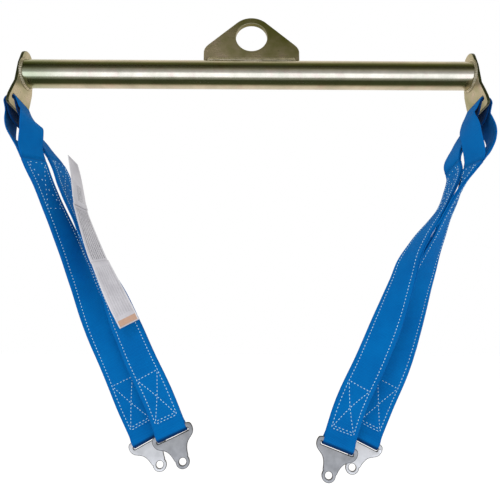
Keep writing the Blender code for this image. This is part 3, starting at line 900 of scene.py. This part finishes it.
def build_sling(name, slot_bar, side, radius, opening, cloth, thread):
    """The cloth of one sling: eye loop, sleeve, stitching and end loop."""
    course = Course(slot_bar, side, COURSES[name])
    body = name + "_sling"
    splay = EYE_SPLAY.get(name, 0.0)
    loop = eye_loop(name + "_eye_webbing", course, radius, opening, cloth, splay)
    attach(loop, body)
    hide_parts(name + "_eye_loop")
    sleeve = Sleeve(course, name)
    pivot, down = course.place(FOLD_AT, 0, 0), course.axes(np.array(FOLD_AT))[0]
    bend = [tuple((pivot + k * BLEND * down) * MM) for k in (-1, 1)]
    cover = sleeve.build(name + "_sleeve", cloth)
    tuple(bend[0])
    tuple(bend[1])
    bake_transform(cover)
    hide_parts(name + "_upper", name + "_tail")
    seams = thread_mesh(name + "_stitching", sleeve_stitches(sleeve), thread)
    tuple(bend[0])
    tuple(bend[1])
    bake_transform(seams)
    tail = end_loop(name + "_end_webbing", course, sleeve.end, cloth)
    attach(tail, name + "_tail")
    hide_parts(name + "_end_loop")
    for piece in (loop, cover, seams, tail):
        piece.visible_glossy = False  # hardly any blue shows in the plating


# What the plating mirrors, by angle round the bar: 0 is level in front, 90 overhead, -90 below
SURROUND = (
    (-180, (0.86, 0.80, 0.74)), (-150, (0.86, 0.78, 0.70)), (-132, (0.72, 0.64, 0.54)),
    (-120, (0.30, 0.27, 0.18)), (-110, (0.06, 0.07, 0.03)), (-74, (0.05, 0.06, 0.03)),
    (-64, (0.28, 0.30, 0.26)), (-54, (0.44, 0.46, 0.44)), (-48, (1.50, 1.56, 1.80)),
    (-22, (1.60, 1.66, 1.90)), (-13, (0.62, 0.63, 0.70)), (0, (0.44, 0.44, 0.46)),
    (11, (0.30, 0.29, 0.25)), (22, (0.09, 0.09, 0.05)), (42, (0.02, 0.02, 0.004)),
    (68, (0.10, 0.11, 0.03)), (82, (0.34, 0.32, 0.20)), (98, (0.70, 0.64, 0.52)),
    (116, (0.90, 0.84, 0.76)), (180, (0.86, 0.80, 0.74)),
)
AMBIENT = 0.80


def surround():
    """White behind the object, even light on the cloth and graded bands in the plating."""
    world = bpy.data.worlds.new("surround")
    bpy.context.scene.world = world
    world.use_nodes = True
    tree = world.node_tree

    def add(kind, operation=None, values=()):
        made = tree.nodes.new(kind)
        if operation:
            made.operation = operation
        for socket, value in zip(made.inputs, values):
            if isinstance(value, bpy.types.NodeSocket):
                tree.links.new(value, socket)
            else:
                socket.default_value = value
        return made

    way = add("ShaderNodeTexCoord").outputs["Generated"]
    part = add("ShaderNodeSeparateXYZ", None, (way,)).outputs
    front = add("ShaderNodeMath", "MULTIPLY", (part["Y"], -1.0)).outputs[0]
    angle = add("ShaderNodeMath", "ARCTAN2", (part["Z"], front)).outputs[0]
    share = add("ShaderNodeMath", "MULTIPLY_ADD", (angle, 0.5 / math.pi, 0.5)).outputs[0]
    bands = add("ShaderNodeValToRGB", None, (share,))
    stops = bands.color_ramp.elements
    while len(stops) < len(SURROUND):
        stops.new(0.5)
    for stop, (degrees, colour) in zip(stops, SURROUND):
        stop.position = (degrees + 180) / 360
        stop.color = (*colour, 1.0)
    path = add("ShaderNodeLightPath").outputs
    sky = tree.nodes["Background"]
    plain = add("ShaderNodeMapRange", None, (path["Is Camera Ray"], 0.0, 1.0, AMBIENT, 1.0))
    mixed = add("ShaderNodeMix")
    mixed.data_type = "RGBA"
    tree.links.new(path["Is Glossy Ray"], mixed.inputs["Factor"])
    tree.links.new(plain.outputs["Result"], mixed.inputs["A"])
    tree.links.new(bands.outputs["Color"], mixed.inputs["B"])
    tree.links.new(mixed.outputs["Result"], sky.inputs["Color"])


# Floor, lamps and camera, in metres, degrees and watts
FLOOR_Z = -1.5
FLOOR_REACH = 60.0
LAMPS = (  # name, place, size, power
    ("key", (-1.1, -2.0, 1.5), (1.4, 1.0), 26.0),
    ("front", (1.2, -2.4, -0.2), (1.6, 1.0), 10.0),
)
LAMP_TARGET = (0.0, 0.0, -0.4)
CAMERA_PLACE = (-0.00293, -0.66768, -0.52144)
CAMERA_TURN = (12.427, 0.141, 0.217)  # pitch, yaw and roll
LENS, SENSOR = 31.83336, 36.0  # millimetres


def add_floor():
    """A pale floor far below, out of the plating's sight."""
    mesh = bpy.data.meshes.new("floor")
    reach = FLOOR_REACH
    corners = [(-reach, -reach, 0), (reach, -reach, 0), (reach, reach, 0), (-reach, reach, 0)]
    mesh.from_pydata(corners, [], [(0, 1, 2, 3)])
    pale = Nodes("floor_pale", Roughness=0.9)
    floor = new_piece("floor", mesh, pale.finish(
        Base_Color=rgb(0.93, 0.93, 0.93), Emission_Color=rgb(1.0, 1.0, 1.0), Emission_Strength=0.3,
    ))
    floor.location.z = FLOOR_Z
    floor.visible_glossy = False


def add_lamps():
    """Two soft lamps in front that the plating doesn't mirror."""
    for name, place, size, power in LAMPS:
        data = bpy.data.lights.new(name, "AREA")
        data.shape, data.size, data.size_y, data.energy = "RECTANGLE", size[0], size[1], power
        lamp = bpy.data.objects.new(name, data)
        bpy.context.scene.collection.objects.link(lamp)
        lamp.location = place
        facing = Vector(LAMP_TARGET) - Vector(place)
        lamp.rotation_euler = facing.to_track_quat("-Z", "Y").to_euler()
        lamp.visible_glossy = False


def add_camera():
    """A camera below the bar's level, looking up at it."""
    pitch, yaw, roll = (math.radians(a) for a in CAMERA_TURN)
    level = math.cos(pitch)
    look = Vector((math.sin(yaw) * level, math.cos(yaw) * level, math.sin(pitch)))
    flat = Vector((math.cos(yaw), -math.sin(yaw), 0.0))
    upright = flat.cross(look)
    right = flat * math.cos(roll) + upright * math.sin(roll)
    up = right.cross(look)
    data = bpy.data.cameras.new("camera")
    data.sensor_width = SENSOR
    data.lens = LENS
    camera = bpy.data.objects.new("camera", data)
    bpy.context.scene.collection.objects.link(camera)
    facing = Matrix((right, up, -look)).transposed().to_4x4()
    camera.matrix_world = Matrix.Translation(CAMERA_PLACE) @ facing
    bpy.context.scene.camera = camera


def studio():
    """The photograph's plain white setting."""
    add_floor()
    surround()
    bpy.context.scene.view_settings.view_transform = "Standard"
    add_lamps()
    add_camera()


def build():
    """Every piece of the object, with its material."""
    cloth, thread = webbing_material(), thread_material()
    tube_zinc = zinc_material(
        "zinc_tube", (0.72, 0.67, 0.54), (0.56, 0.54, 0.42), 0.15, (0.02, 1.0, 1.0),
        green=(0.34, 0.42, 0.24),
    )
    plate_zinc = zinc_material(
        "zinc_plate", (0.58, 0.49, 0.33), (0.36, 0.35, 0.18), 0.3, (1.0, 1.0, 0.1), 0.7
    )
    weld = weld_material()
    eye_zinc = zinc_material(
        "zinc_eye", (0.50, 0.41, 0.26), (0.36, 0.32, 0.16), 0.3, (0.1, 1.0, 1.0), 0.7,
        (0.11, 0.11, 0.012),
    )
    bright = link_material("link_steel_bright", (0.84, 0.84, 0.80), (0.68, 0.68, 0.65))
    grey = link_material("link_steel_grey", (0.50, 0.505, 0.49), (0.34, 0.345, 0.335))

    low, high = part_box("bar_tube")
    tube_r, axis_z = (high.z - low.z) / 2, (high.z + low.z) / 2
    rounded_copy("bar_tube", "bar_tube_skin", TUBE_EDGE, tube_zinc)
    rounded_copy("eye_plate", "eye_plate_skin", EYE_EDGE, eye_zinc)
    for word, side in (("front", -1), ("back", 1)):
        eye_weld(word, side, tube_r, axis_z, weld)
    bars = {j["name"]: np.array(j["pos_m"]) / MM for j in frame["joints"]}
    for word, side in (("left", -1), ("right", 1)):
        plate = word + "_end_plate"
        rounded_copy(plate, plate + "_skin", PLATE_EDGE, plate_zinc, ALONG_BAR)
        end_weld(word, side, weld)
        for place, radius, opening in (
            ("outer", COVER_R, COVER_OPENING[word]), ("inner", NESTED_R, NESTED_OPENING),
        ):
            name = f"{word}_{place}"
            build_sling(name, bars[name + "_swing"], side, radius, opening, cloth, thread)
            steel = grey if place == "inner" else bright
            rounded_copy(name + "_link", name + "_link_skin", LINK_EDGE, steel)
    build_label(bars["left_inner_swing"], label_material())


build()
studio()
